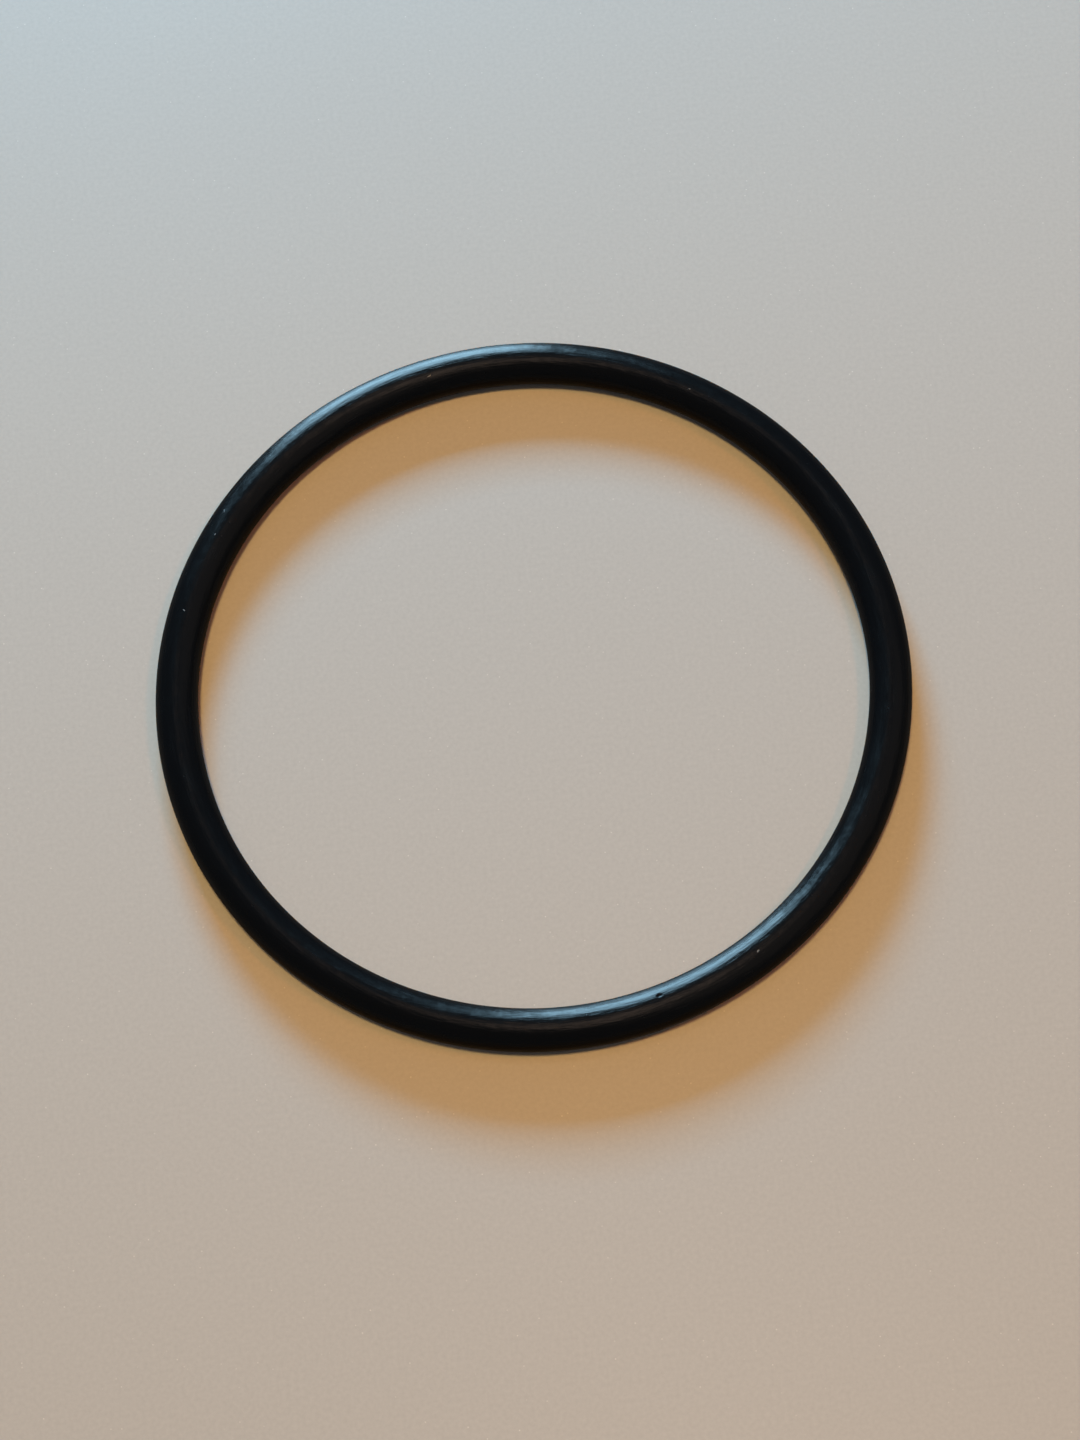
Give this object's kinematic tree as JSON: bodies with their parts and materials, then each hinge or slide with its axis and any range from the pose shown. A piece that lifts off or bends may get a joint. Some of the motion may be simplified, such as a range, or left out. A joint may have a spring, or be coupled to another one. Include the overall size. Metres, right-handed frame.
{
  "type": "rubber o-ring",
  "caption": "Endless black rubber o-ring with a round section, for sealing a groove between two parts.",
  "frame": {"origin": "centre of the ring, half way up its section", "axes": "+Z along the ring's axis, upwards as it lies flat; X and Y lie in the plane of the ring, which looks the same from every side"},
  "size_m": [0.062, 0.062, 0.0034],
  "materials": {
    "nitrile_rubber": "satin"
  },
  "bodies": {
    "root": {"o_ring": "nitrile_rubber"}
  },
  "joints": []
}
